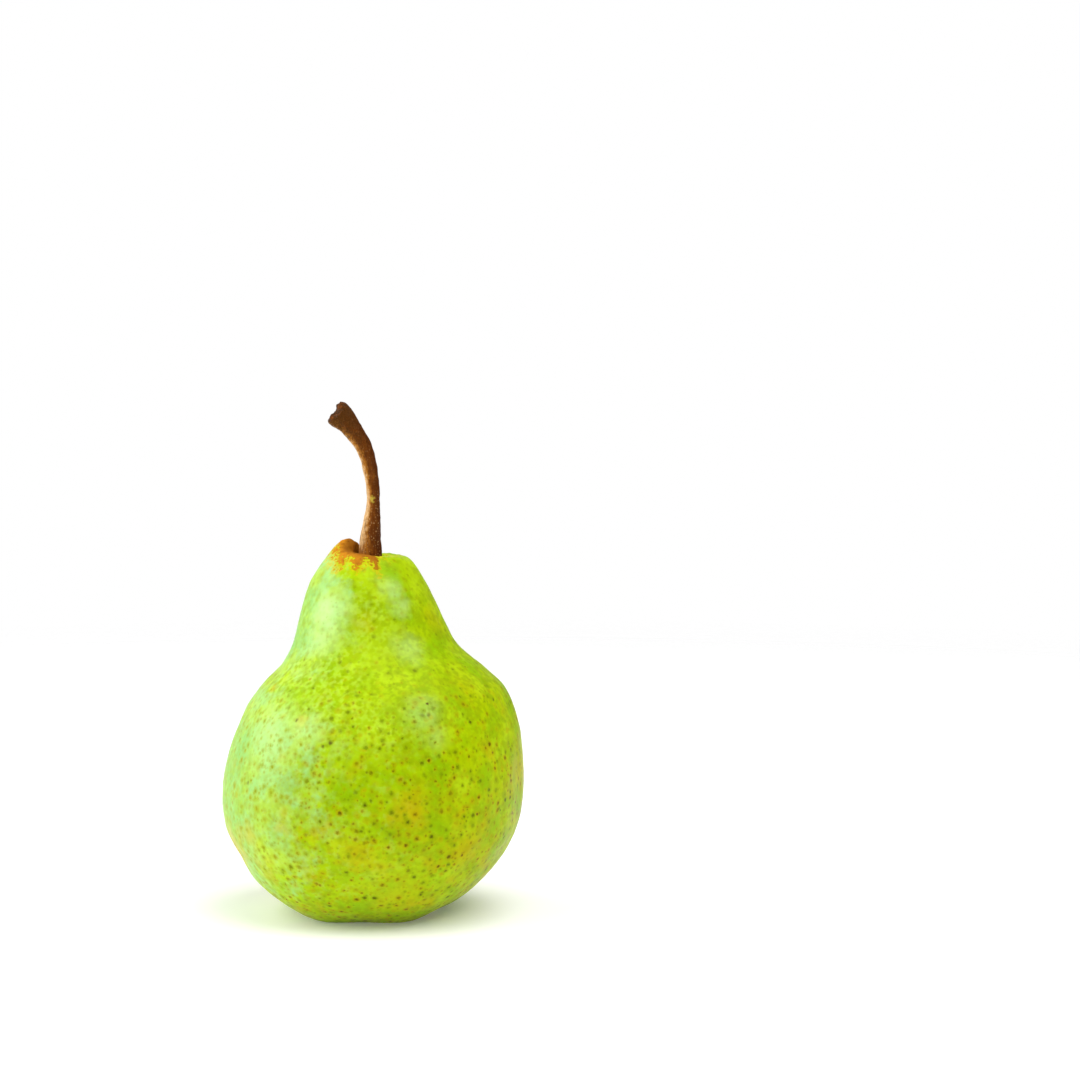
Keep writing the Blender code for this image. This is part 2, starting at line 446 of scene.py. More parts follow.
class Finish:
    """A material, and the steps that build it up. A step adds nodes and returns their output, and
    takes numbers or other steps' outputs."""

    def __init__(self, name, colour):
        """A plain material of one colour; place is the object's own coordinates in mm."""
        self.material = bpy.data.materials.new(name)
        self.material.use_nodes = True
        self.tree = self.material.node_tree
        self.shader = self.tree.nodes["Principled BSDF"]
        self.colour = colour
        position = self.add("ShaderNodeTexCoord").outputs["Object"]
        scale = (1 / MM,) * 3
        self.place = self.add("ShaderNodeMapping", {"Vector": position, "Scale": scale}).outputs[0]

    def add(self, kind, inputs=None, **settings):
        """One node of this material."""
        return add_node(self.tree, kind, inputs, **settings)

    def reckon(self, kind, *values):
        """Arithmetic from left to right, such as SUBTRACT or DIVIDE."""
        result = values[0]
        for value in values[1:]:
            result = self.add("ShaderNodeMath", {0: result, 1: value}, operation=kind).outputs[0]
        return result

    def plus(self, *values):
        """The values' sum."""
        return self.reckon("ADD", *values)

    def times(self, *values):
        """The values' product."""
        return self.reckon("MULTIPLY", *values)

    def larger(self, *values):
        """The largest of the values."""
        return self.reckon("MAXIMUM", *values)

    def stretch(self, scale, shift=(0.0, 0.0, 0.0)):
        """The place in mm, scaled and shifted."""
        inputs = {"Vector": self.place, "Scale": scale, "Location": shift}
        return self.add("ShaderNodeMapping", inputs).outputs[0]

    def distance(self, place):
        """The way to a place, in mm."""
        inputs = {0: self.place, 1: place}
        return self.add("ShaderNodeVectorMath", inputs, operation="DISTANCE").outputs["Value"]

    def noise(self, size, detail=2.0, shift=0.0, where=None):
        """Noise around 0.5 with patches about size mm across; shift gives another pattern."""
        where = where or self.stretch((1.0, 1.0, 1.0), (shift, 2 * shift, 3 * shift))
        inputs = {"Vector": where, "Scale": 1 / size, "Detail": detail}
        return self.add("ShaderNodeTexNoise", inputs).outputs["Fac"]

    def fade(self, value, start, end, low=0.0, high=1.0):
        """Smooth step from low to high while value goes from start to end."""
        inputs = {"Value": value, "From Min": start, "From Max": end, "To Min": low, "To Max": high}
        node = self.add("ShaderNodeMapRange", inputs, interpolation_type="SMOOTHSTEP")
        return node.outputs["Result"]

    def patchy(self, size, detail, shift, start, end, share=1.0):
        """Patches of noise: 0 where the noise is at start, share where it has reached end."""
        return self.fade(self.noise(size, detail, shift), start, end, 0.0, share)

    def wander(self, size, detail, shift, reach):
        """Noise that wanders between -reach and reach."""
        return self.fade(self.noise(size, detail, shift), 0.3, 0.7, -reach, reach)

    def blend(self, share, under, over):
        """The colour under where share is 0, and over where it is 1."""
        inputs = {0: share, 6: opaque(under), 7: opaque(over)}
        return self.add("ShaderNodeMix", inputs, data_type="RGBA").outputs[2]

    def lay(self, over, share):
        """Lay a colour over the finish's own, as far as the share says."""
        self.colour = self.blend(share, self.colour, over)

    def stored(self, name):
        """A number stored on the mesh."""
        return self.add("ShaderNodeAttribute", attribute_name=name).outputs["Fac"]

    def spots(self, cell, shift):
        """Scattered points, one in each cell of that many mm: the way to the nearest in mm, and
        its own three chances between 0 and 1."""
        where = self.stretch((1.0, 1.0, 1.0), (shift, shift, -shift))
        inputs = {"Vector": where, "Scale": 1 / cell, "Randomness": 0.85}
        node = self.add("ShaderNodeTexVoronoi", inputs)
        chances = self.add("ShaderNodeSeparateColor", {0: node.outputs["Color"]}).outputs
        return self.times(node.outputs["Distance"], cell), chances

    def bump(self, height):
        """Bump from a height in mm."""
        inputs = {"Height": height, "Strength": 1.0, "Distance": MM}
        return self.add("ShaderNodeBump", inputs).outputs[0]

    def put(self, **inputs):
        """Give the shader the colour and these inputs; underscores stand for spaces."""
        for name, value in {"Base_Color": opaque(self.colour), **inputs}.items():
            socket = self.shader.inputs[name.replace("_", " ")]
            if isinstance(value, bpy.types.NodeSocket):
                self.tree.links.new(value, socket)
            else:
                socket.default_value = value

    def report(self):
        """Print how many nodes the finish has."""
        print(self.material.name, "nodes:", len(self.tree.nodes))


print("steps of a finish:", [name for name in vars(Finish) if not name.startswith("_")])

# %% [markdown]
# ## The skin's ground colour
#
# A ripening pear is lime green, yellower on the sunny side and towards the base. Over that lie
# greener and paler clouds. A painted picture of the skin would blur close up, so each layer is one
# noise with its own size, faded to cover only part of the skin.

# %% Ground colour of the skin
LIME = (0.390, 0.600, 0.001)
SUNNY = (0.440, 0.575, 0.0005)
LEAF = (0.260, 0.500, 0.001)
CLOUD = (0.530, 0.740, 0.012)

skin = Finish("pear_skin", LIME)
to_right, _, upwards = skin.add("ShaderNodeSeparateXYZ", {0: skin.place}).outputs
to_sun = skin.plus(skin.fade(to_right, -25, 30, 0, 0.5), skin.fade(upwards, 70, 5, 0, 0.3))
skin.lay(SUNNY, skin.fade(skin.plus(to_sun, skin.noise(15, 1, 3.0)), 0.55, 1.2))
skin.lay(LEAF, skin.patchy(7, 1, 11.0, 0.44, 0.70, 0.75))
skin.lay(CLOUD, skin.patchy(9, 1, 23.0, 0.48, 0.72, 0.55))
skin.report()

# %% [markdown]
# ## The painted sheen on the left
#
# The skin that faces left is painted a pale mint: a painted highlight, the sheen of the large light
# on that side laid into the colour. The stored number says how far the skin faces that way. A
# coarse and a fine noise are added before the fade, so that the border wanders and frays instead of
# following the form.

# %% Painted minty sheen on the left
SHEEN_MINT = (0.350, 0.660, 0.195)
SHEEN_LIME = (0.425, 0.655, 0.080)
SHEEN_DEEP = (0.240, 0.550, 0.130)

# painted highlight: the pale mint laid here is painted sheen from the light on the left
leftward = skin.stored("leftward")
sheen_reach = skin.plus(leftward, skin.wander(8, 2, 29.0, 0.15), skin.wander(1.9, 2, 35.0, 0.09))
painted_sheen = skin.fade(sheen_reach, 0.16, 0.56)
sheen_tone = skin.blend(skin.patchy(6, 2, 33.0, 0.40, 0.62), SHEEN_MINT, SHEEN_LIME)
sheen_tone = skin.blend(skin.fade(leftward, 0.65, 1.0, 0, 0.70), sheen_tone, SHEEN_DEEP)
skin.lay(sheen_tone, skin.times(painted_sheen, 0.9))
skin.report()

# %% [markdown]
# ## Flecks, blush and mottle
#
# Closer up the skin is a mosaic: pale flecks that break up the painted sheen on the left, orange
# blushes mostly low down, olive mottles that are weaker under the painted sheen, and a fine pale
# grain over it all.

# %% Flecks, blush, mottle and grain
PALE_SHEEN = (0.580, 0.880, 0.300)
BLUSH = (0.600, 0.400, 0.002)
OLIVE = (0.280, 0.370, 0.001)

# painted highlight: pale flecks, most of them on the left, break up the painted sheen
flecks = skin.patchy(2.0, 2, 39.0, 0.50, 0.68)
skin.lay(PALE_SHEEN, skin.times(flecks, skin.fade(leftward, -0.50, 0.20, 0, 0.15)))
blushes = skin.reckon("SUBTRACT", skin.noise(6, 1, 37.0), skin.fade(upwards, 15, 60, 0, 0.16))
skin.lay(BLUSH, skin.fade(blushes, 0.52, 0.72, 0, 0.42))
mottles = skin.patchy(2.2, 1, 31.0, 0.42, 0.72)
skin.lay(OLIVE, skin.times(mottles, skin.fade(painted_sheen, 0.0, 1.0, 0.58, 0.32)))
skin.lay(CLOUD, skin.patchy(0.8, 1, 83.0, 0.50, 0.80, 0.30))
skin.report()

# %% [markdown]
# ## Blotches on the shoulder
#
# From the shoulder up to the neck come leafy blotches, with paler skin between them. Both are one
# noise, read from its two ends, so they hardly cover each other.

# %% Blotches from the shoulder to the neck
LEAF_OLIVE = (0.265, 0.415, 0.001)
PALE_LIME = (0.520, 0.770, 0.100)

band = skin.times(skin.fade(upwards, 40, 52), skin.fade(upwards, 84, 74))
band = skin.times(band, skin.fade(painted_sheen, 0.2, 1.0, 1.0, 0.35))
blotches = skin.noise(1.4, 1, 93.0)
pale_bits = skin.times(skin.fade(blotches, 0.58, 0.38, 0, 0.30), band)
skin.lay(PALE_LIME, skin.times(pale_bits, skin.fade(leftward, -0.50, 0.05)))
skin.lay(LEAF_OLIVE, skin.times(skin.fade(blotches, 0.46, 0.66, 0, 0.60), band))
skin.report()

# %% [markdown]
# ## Patches with a place
#
# Some clouds and blushes are one of a kind, and give this pear its face. The pale patches are
# painted highlights, the bright lime ones painted light on the lower body, and the deep mint ones
# belong to the painted sheen. Each is a soft ball of colour, cut by the skin. Its middle is looked
# up on the finished surface, so that it stays on the skin if the outline changes.

# %% Placed patches
# painted light: a lighter lime that lifts the shaded lower body
PAINTED_LIGHT_LIME = (0.560, 0.780, 0.030)
FRONT, BACK = -1, 1
# pale patches are painted highlights; bright lime ones are painted light; deep mint ones are
# painted sheen
PATCHES = (  # colour, x, height, radius in mm, strength; the side, if it isn't the front
    (BLUSH, -33, 18, 6, 0.75),
    (BLUSH, -29, 23, 3.5, 0.50),
    (BLUSH, -23.5, 57, 1.4, 0.60),
    (BLUSH, -16.5, 51, 1.3, 0.45),
    (BLUSH, -1.8, 72.6, 2.5, 0.35),
    (BLUSH, 8, 31, 4.5, 0.60),
    (BLUSH, -6, 21, 4.5, 0.30),
    (BLUSH, 22, 20, 5, 0.45),
    (BLUSH, 5, 8, 6, 0.25),
    (BLUSH, 35, 36, 6, 0.45),
    (BLUSH, 30, 26, 7, 0.50, BACK),
    (BLUSH, -8, 30, 8, 0.50, BACK),
    (BLUSH, 20.7, 58, 6, 0.15),
    (PAINTED_LIGHT_LIME, -25, 18, 6, 0.40),
    (PAINTED_LIGHT_LIME, 2, 13, 11, 0.22),
    (PALE_SHEEN, 12, 53, 4.5, 0.28),
    (PALE_SHEEN, 15, 46.5, 3, 0.20),
    (PALE_SHEEN, -15, 48.5, 4, 0.40),
    (PALE_SHEEN, -10.5, 75, 5, 0.90),
    (PALE_SHEEN, -12, 68.5, 4.5, 0.60),
    (CLOUD, -1, 67, 7, 0.50),
    (CLOUD, -4, 50, 9, 0.35),
    (LEAF, -3, 37, 8, 0.35),
    (LEAF, -17, 55.5, 5, 0.35),
    (BLUSH, 15, 71.5, 3.5, 0.25),
    (SHEEN_DEEP, -31, 42, 5, 0.45),
    (SHEEN_DEEP, -19.5, 65, 4, 0.40),
    (PALE_SHEEN, -24, 46, 8, 0.45),
    (PALE_SHEEN, 4.5, 80.5, 3, 0.40),
    (PALE_SHEEN, 6.8, 76, 2.5, 0.45),
    (PALE_SHEEN, 8.5, 66, 4, 0.30),
    (PALE_SHEEN, -10, 62, 5, 0.35, BACK),
    (PALE_SHEEN, 14, 47, 5, 0.35, BACK),
)


def on_skin(x, height, side):
    """The point of the skin on that side with the least (its x - x)^2 + (its z - height)^2."""
    away = (skin_points[..., 0] - x) ** 2 + (skin_points[..., 2] - height) ** 2
    away = np.where(skin_points[..., 1] * side > 0, away, np.inf)
    return skin_points.reshape(-1, 3)[np.argmin(away)]


def stain(bend, tone, x, height, radius, strength, side=FRONT):
    """Lay a colour round a point of the skin: its share is strength at the point, and 0 from 1.6
    times the radius on. The bend is added to the way from the point."""
    way = skin.plus(skin.distance(on_skin(x, height, side)), bend)
    skin.lay(tone, skin.fade(way, 1.6 * radius, 0.0, 0.0, strength))


drift = skin.wander(3.0, 1, 87.0, 0.8)
for patch in PATCHES:
    stain(drift, *patch)
print("placed patches:", len(PATCHES))

# %% [markdown]
# ## Freckles
#
# The freckles are lenticels, the pores through which the fruit breathes. Each is a small corky dot
# in a blurred halo that is darker green, or orange where the sun caught it. Points scattered in
# space and cut by the skin give dots of many sizes, because the skin only grazes some. They gather
# in places, and are browner towards the base and fainter up the neck. Inside the painted sheen on
# the left they are painted golden and fainter, as a painted highlight over them.

# %% Freckles
FRECKLE_OLIVE = (0.105, 0.118, 0.001)
FRECKLE_BROWN = (0.150, 0.092, 0.001)
HALO_OLIVE = (0.270, 0.390, 0.001)
HALO_ORANGE = (0.500, 0.385, 0.001)
GOLDEN_SHEEN = (0.340, 0.390, 0.005)

gathered = skin.fade(skin.noise(5.0, 2, 91.0), 0.38, 0.58, 0.75, 1.30)
crooked = skin.wander(0.45, 1, 89.0, 0.09)
fainter = skin.fade(upwards, 50, 68, 1.0, 0.62)
low_down = skin.fade(upwards, 72, 30, 0.0, 0.42)
# painted highlight: inside the painted sheen the freckles turn golden
freckle_sheen = skin.times(painted_sheen, 0.7)


def freckles(cell, radius, strength, shift):
    """Lay dots with halos, and return the dots' share. A dot fades in from 1.3 to 0.1 of its own
    size, which is 0.7 to 1.3 of the radius, and its halo from 2.4 to 0.6; its boldness is a chance
    times the strength."""
    way, chance = skin.spots(cell, shift)
    size = skin.fade(chance[0], 0.0, 1.0, 0.7 * radius, 1.3 * radius)
    near = skin.reckon("DIVIDE", skin.plus(way, crooked), size)
    warm = skin.fade(skin.plus(chance[1], low_down), 0.68, 1.0)
    bold = skin.plus(skin.fade(chance[2], 0.0, 1.0, 0.15, 0.8), low_down)
    bold = skin.times(bold, skin.fade(painted_sheen, 0.0, 1.0, strength, 0.85 * strength))
    bold = skin.times(bold, gathered, fainter)
    dot = skin.times(skin.fade(near, 1.3, 0.1), bold)
    halo_tone = skin.blend(freckle_sheen, skin.blend(warm, HALO_OLIVE, HALO_ORANGE), GOLDEN_SHEEN)
    dot_tone = skin.blend(freckle_sheen, skin.blend(warm, FRECKLE_OLIVE, FRECKLE_BROWN), GOLDEN_SHEEN)
    skin.lay(halo_tone, skin.times(skin.fade(near, 2.4, 0.6), bold, 0.6))
    skin.lay(dot_tone, dot)
    return dot


small_dots = freckles(cell=1.25, radius=0.34, strength=0.42, shift=5.0)
large_dots = freckles(cell=1.95, radius=0.50, strength=0.80, shift=17.0)
skin.report()

# %% [markdown]
# ## Small blemishes
#
# A few dark specks and scuffs, where a twig or an insect touched the skin. They are placed as the
# patches are, but are small, brown and more ragged.

# %% Blemishes
BLEMISHES = (  # the same, without the colour
    (12.6, 54.7, 0.35, 1.00),
    (11.3, 52.1, 0.60, 0.50),
    (12.8, 52.2, 0.50, 0.60),
    (-10.1, 46.0, 0.55, 0.85),
    (-11.8, 45.8, 0.45, 0.75),
    (-17.8, 50.4, 0.42, 0.95),
    (-29.5, 35.5, 0.50, 0.60),
    (20.0, 40.0, 0.80, 0.85, BACK),
    (-14.0, 28.0, 0.60, 0.85, BACK),
)
BLEMISH_BROWN = (0.085, 0.045, 0.012)

ragged = skin.wander(0.7, 2, 79.0, 0.12)
for blemish in BLEMISHES:
    stain(ragged, BLEMISH_BROWN, *blemish)
print("blemishes:", len(BLEMISHES))

# %% [markdown]
# ## Russet
#
# The stored ways to the cavity and the basin give the russet its place. Two noises are added to
# them: crumbs fray the edge, and bays let the green in. Cork is thin at its edge. Deep in the
# cavity, and on the side of the lip that faces the stem, away from the light, it gets painted
# shade.

# %% Where the cork is
crumbs = skin.wander(0.65, 3, 41.0, 1.15)
bays = skin.wander(2.0, 2, 43.0, 0.7)
from_cavity = skin.stored("cavity_way")
cavity_edge = skin.plus(from_cavity, skin.plus(crumbs, bays))
basin_edge = skin.plus(skin.stored("basin_way"), crumbs)
fringe = skin.larger(skin.fade(cavity_edge, 8.8, 6.2), skin.fade(basin_edge, 9.0, 7.0))
corky = skin.larger(skin.fade(cavity_edge, 6.9, 5.6), skin.fade(basin_edge, 7.2, 6.2))
thin = skin.fade(cavity_edge, 5.2, 6.3, 0, 0.85)
# painted shade: darker where the lip faces right, away from the light, and deep in the cavity
shade_by_stem = skin.fade(leftward, -0.05, -0.85)
inside = skin.fade(from_cavity, 3.2, 1.8)
skin.report()

# %% [markdown]
# ## The colour of cork
#
# First a yellow fringe is laid over the green, then the cork with its mottled brown, and painted
# shade deep in the cavity and on the lip's side that faces the stem.

# %% Colour of the cork over the skin
RUSSET = (0.610, 0.235, 0.012)
RUSSET_DARK = (0.420, 0.145, 0.008)
RUSSET_SHADE = (0.150, 0.045, 0.004)
RUSSET_THIN = (0.430, 0.235, 0.001)
FRINGE = (0.660, 0.500, 0.004)

cork_tone = skin.blend(skin.patchy(1.4, 3, 53.0, 0.44, 0.74), RUSSET, RUSSET_DARK)
cork_tone = skin.blend(thin, cork_tone, RUSSET_THIN)
# painted shade laid over the cork
cork_tone = skin.blend(skin.times(skin.larger(shade_by_stem, inside), 0.60), cork_tone, RUSSET_SHADE)
skin.lay(FRINGE, skin.times(fringe, 0.75))
skin.lay(cork_tone, corky)
skin.report()

# %% [markdown]
# ## The skin's surface
#
# Waxy skin shines softly and lets a little light in. The freckles stand in tiny pits, and the
# whole skin has a grain too fine to model, so both are bump. Russet is dry and rough. Wax on juicy
# flesh mirrors less than glass, so the IOR is low.

# %% Surface of the skin
grain = skin.times(skin.noise(0.35, 2, 61.0), 0.010)
dimples = skin.times(skin.noise(3.2, 2, 67.0), 0.10)
pores = skin.times(skin.plus(small_dots, large_dots), -0.02)
cork_relief = skin.times(skin.noise(0.6, 4, 71.0), corky, 0.16)
shine = skin.fade(skin.noise(5.0, 2, 73.0), 0.3, 0.7, 0.34, 0.44)
skin.put(
    Roughness=skin.larger(shine, skin.times(corky, 0.8)),
    Normal=skin.bump(skin.plus(grain, dimples, pores, cork_relief)),
    Subsurface_Weight=0.15,
    Subsurface_Radius=(1.0, 0.8, 0.15),
    Subsurface_Scale=0.0015,
    IOR=1.14,
    Specular_Tint=(0.85, 1.0, 0.45, 1.0),
)
fruit.data.materials.append(skin.material)
skin.report()

# %% [markdown]
# ## The stem
#
# The stem is a ring carried along a path: thick where it grows out of the cavity, slim in the
# middle, and swollen at the end, where it broke off the spur. The path bends nearly in one plane,
# so a frame of two directions across it needs no twist: one lies in the plane of the bend, and the
# other points to the back.

# %% Path of the stem in millimetres: x, y, z, radius
STEM_ROUTE = (
    (-0.6, 0.0, 84.2, 3.0),
    (-0.6, 0.0, 88.0, 2.8),
    (-0.5, 0.0, 91.5, 2.5),
    (-0.1, 0.0, 95.5, 2.1),
    (0.2, 0.1, 99.5, 1.6),
    (0.2, 0.1, 103.5, 1.6),
    (-0.3, -0.1, 107.2, 1.7),
    (-1.2, -0.5, 111.4, 1.9),
    (-2.9, -0.9, 115.2, 2.1),
    (-5.2, -1.2, 118.5, 2.5),
    (-6.5, -1.4, 120.1, 2.65),
    (-8.0, -1.6, 121.6, 2.85),
)
STEM_AROUND = 128
STEM_ROWS = 260


def unit(vectors):
    """Each vector divided by its own length."""
    return vectors / np.linalg.norm(vectors, axis=-1, keepdims=True)


def carried(route, scale, turn):
    """Rings round a path: middle + r (cos t * side + sin t * back), where side is unit(Y x
    tangent), back is unit(tangent x side), and r is the path's radius times the scale."""
    middle, radius = route[:, :3], route[:, 3]
    tangent = unit(np.gradient(middle, axis=0))
    side = unit(np.cross([0.0, 1.0, 0.0], tangent))
    back = unit(np.cross(tangent, side))
    reach = (radius[:, None] * scale)[..., None]
    across = np.cos(turn)[:, None] * side[:, None] + np.sin(turn)[:, None] * back[:, None]
    return middle[:, None] + reach * across, tangent


def stem_scale(along, turn):
    """1 plus low ridges: 0.020 cos 5t, 0.012 cos 9t and 0.006 cos 16t, each slowly turning; towards
    the end the ring gets an oval of 0.13 cos 2t."""
    ridges = 0.020 * np.cos(5 * turn + 2.0 * along) + 0.012 * np.cos(9 * turn - 3.0 * along + 1.0)
    ridges = ridges + 0.006 * np.cos(16 * turn + 5.0 * along)
    oval = 0.13 * smooth_step(along, 0.80, 1.0) * np.cos(2 * turn)
    return 1.0 + ridges * smooth_step(along, 0.0, 0.1) + oval


stem_along, stem_turn = np.linspace(0.0, 1.0, STEM_ROWS), turns(STEM_AROUND)
stem_path = through(STEM_ROUTE, stem_along * (len(STEM_ROUTE) - 1))
scale = stem_scale(stem_along[:, None], stem_turn)
stem_rings, stem_tangent = carried(stem_path, scale, stem_turn)
bark_relief = 0.030 * plane_waves(stem_rings * [1, 1, 0.5], 0.6, 1.5, 40, seed=8)
bark_relief += 0.045 * plane_waves(stem_rings, 2.5, 6.0, 30, seed=9)
stem_rings = stem_rings + bark_relief[..., None] * unit(stem_rings - stem_path[:, None, :3])
print("stem leaves the cavity at, mm:", stem_path[0, :3].round(1))

# %% [markdown]
# ## The scar at the stem's end
#
# A pear lets go of the tree at a layer of cork, so the end is not a clean cut: it is a rough dome
# with a larger lobe on top, a smaller one below, and a groove between them. More rings, each
# smaller than the last, cross the end, and each is pushed forward by the height of the dome.

# %% Rings across the scar
SCAR_ROWS = 40
UPPER_LOBE, LOWER_LOBE = 1.05, 0.3  # mm forward
GROOVE = 0.35  # mm deep
NOTCH, NOTCH_TURN, NOTCH_WIDTH = 0.25, 4.4, 0.35  # mm deep, and its place and width in radians
CRUST = 0.12  # mm

inwards = np.linspace(0.0, 1.0, SCAR_ROWS + 2)[1:-1]
shrink = np.cos(inwards * np.pi / 2)
above = np.clip(np.cos(stem_turn), 0.0, 1.0) ** 1.5
below = np.clip(-np.cos(stem_turn), 0.0, 1.0) ** 1.5
groove = GROOVE * (1.0 - above - below) + NOTCH * bell(stem_turn, NOTCH_TURN, NOTCH_WIDTH)
dome = np.sin(inwards * np.pi / 2)[:, None]
lobes = UPPER_LOBE * above + LOWER_LOBE * below - groove
forward = dome + lobes * np.sin(np.pi * inwards)[:, None]
end_middle, end_tangent = stem_path[-1, :3], stem_tangent[-1]
scar_rings = (
    end_middle
    + (stem_rings[-1] - end_middle) * shrink[:, None, None]
    + end_tangent * forward[..., None]
)
crust = CRUST * plane_waves(scar_rings, 0.8, 1.8, 40, seed=12)
crust = crust * smooth_step(inwards, 0.0, 0.3)[:, None]
scar_rings = scar_rings + crust[..., None] * end_tangent
print("stem top, mm:", round(float(scar_rings[..., 2].max()), 1))

# %% [markdown]
# ## The stem's mesh
#
# Stem and scar are one run of rings, so the bark has no seam. Three numbers are stored on it for
# the finish: the share of the way along the stem, which goes on from 1 to 2 across the scar, and
# how far a point faces left and to the back.

# %% Make the stem
top_down = np.concatenate([stem_rings, scar_rings])[::-1]
stem_top = scar_rings[-1].mean(axis=0)
stem_foot = stem_path[0, :3] - [0.0, 0.0, 0.3]
stem_mesh = mesh_from_rings("stem_bark", stem_top, top_down, stem_foot)
add_piece("stem_bark", stem_mesh, "stem_bark", "stem")
shares = np.concatenate([stem_along, 1.0 + inwards])[::-1]
to_left = -np.tile(np.cos(stem_turn), STEM_ROWS + SCAR_ROWS)
to_back = np.tile(np.sin(stem_turn), STEM_ROWS + SCAR_ROWS)
store(stem_mesh, "stem_share", np.repeat(shares, STEM_AROUND), ends=(2, 0))
store(stem_mesh, "leftward", to_left, ends=(0, 0))
store(stem_mesh, "backward", to_back, ends=(0, 0))

# %% [markdown]
# ## Bark
#
# Young bark is thin and brown, with fine wrinkles along the stem. The side that faces left is
# painted lighter, orange and tan, as a painted highlight, and the side that faces right keeps a
# dark red as painted shade.

# %% Colour of the bark
BARK = (0.160, 0.041, 0.003)
RED_SHADE_AND_STRANDS = (0.085, 0.019, 0.001)
ORANGE_LIT_AND_STRANDS = (0.420, 0.155, 0.016)
TAN_LIT_AND_SPECKS = (0.720, 0.450, 0.200)
BARK_DARK = (0.078, 0.026, 0.003)
BUD_GREEN = (0.520, 0.380, 0.045)
SCAR_BROWN = (0.062, 0.021, 0.003)
BUD_PLACE = (-0.2, -1.7, 100.9)

bark = Finish("stem_bark", RED_SHADE_AND_STRANDS)
strands = bark.noise(0.9, 3, where=bark.stretch((2.0, 2.0, 0.4)))
share, backward = bark.stored("stem_share"), bark.stored("backward")
# painted highlight and shade: lighter orange and tan towards the left, dark red towards the right
side = bark.plus(bark.stored("leftward"), bark.wander(1.2, 2, 5.0, 0.15))
bark.lay(BARK, bark.fade(side, -0.9, 0.0))
lit_side = bark.plus(side, bark.fade(share, 0.60, 0.85, 0, -0.28))
at_foot = bark.fade(share, 0.25, 0.05, 0, 0.45)
lit_orange = bark.fade(bark.plus(lit_side, at_foot), 0.10, 0.60)
bark.lay(ORANGE_LIT_AND_STRANDS, bark.times(lit_orange, bark.fade(backward, 1.0, 0.3, 0.5, 1.0)))
lit_tan = bark.fade(bark.plus(lit_side, bark.fade(share, 0.45, 0.30, 0, 0.15)), 0.50, 0.95)
lit_tan = bark.times(lit_tan, bark.fade(at_foot, 0.45, 0.2), bark.fade(backward, 0.85, 0.15))
bark.lay(TAN_LIT_AND_SPECKS, lit_tan)
bark.lay(RED_SHADE_AND_STRANDS, bark.fade(strands, 0.56, 0.34, 0, 0.50))
bark.lay(ORANGE_LIT_AND_STRANDS, bark.fade(strands, 0.54, 0.74, 0, 0.25))
bark.report()

# %% [markdown]
# ## Specks, bud and scar
#
# The bark's own pores are pale specks, most of them low down. Halfway up sits a yellow-green spot,
# where a bud was. The end is dark and dry: one fade along the stem, which a noise makes uneven.

# %% Specks, bud and scar over the bark
way, chance = bark.spots(0.50, 7.0)
specks = bark.fade(bark.plus(way, bark.wander(0.25, 1, 6.0, 0.06)), 0.19, 0.07)
denser_low = bark.fade(share, 0.50, 0.20, 0.15, 0.70)
specks = bark.times(specks, bark.fade(chance[0], 0.40, 0.90), denser_low)
bark.lay(TAN_LIT_AND_SPECKS, specks)
from_bud = bark.plus(bark.distance(BUD_PLACE), bark.wander(0.8, 2, 8.0, 0.3))
bark.lay(BUD_GREEN, bark.fade(from_bud, 1.05, 0.3))
dry = bark.plus(share, bark.wander(1.1, 2, 9.0, 0.08))
bark.lay(BARK_DARK, bark.fade(dry, 0.60, 0.98, 0, 0.85))
scar_tone = bark.blend(bark.patchy(0.9, 3, 13.0, 0.42, 0.66), SCAR_BROWN, BARK)
bark.lay(scar_tone, bark.fade(dry, 1.0, 1.25))
bark.report()

# %% [markdown]
# ## The bark's surface
#
# Wrinkles and specks stand out by at most a tenth of a millimetre. That is too fine for the mesh,
# so it is bump.

# %% Surface of the bark
grains = bark.noise(0.38, 2, 3.0)
bark_height = bark.plus(
    bark.times(strands, 0.10), bark.times(grains, 0.07), bark.times(specks, 0.05)
)
bark.put(
    Roughness=bark.fade(grains, 0.3, 0.7, 0.45, 0.65),
    Normal=bark.bump(bark_height),
    IOR=1.20,
    Specular_Tint=(1.0, 0.85, 0.60, 1.0),
)
stem_mesh.materials.append(bark.material)
bark.report()

# %% [markdown]
# ## The dried flower under the base
#
# A pear keeps the remains of its flower in the basin: a small disc, five curled sepals around it,
# and a tuft of dried stamens. They are only seen when the fruit is picked up, but a pear without
# them looks like wax. First comes their shared finish.

# %% Finish of the dried parts
HUSK_DARK = (0.045, 0.025, 0.012)
HUSK = (0.20, 0.11, 0.045)

dried = Finish("dried_calyx", HUSK_DARK)
fibre = dried.noise(0.5, 4, 2.0)
dried.lay(HUSK, dried.fade(fibre, 0.35, 0.65))
dried.put(
    Roughness=dried.fade(fibre, 0.3, 0.7, 0.75, 0.95),
    Normal=dried.bump(dried.times(fibre, 0.12)),
)
dried.report()

# %% [markdown]
# ## The calyx disc
#
# A low cushion: a profile of radius and height turned round the basin's middle. Its radius is
# multiplied by 1 + 0.05 cos 5a, because it has five lobes, as the fruit has.

# %% Make the disc
DISC_PROFILE = ((1.7, 0.75), (2.0, 0.45), (2.0, 0.0), (1.75, -0.32), (1.3, -0.36), (0.6, -0.25))
DISC_ROWS, DISC_AROUND = 40, 120
DISC_LOBES = 0.05  # share of the radius

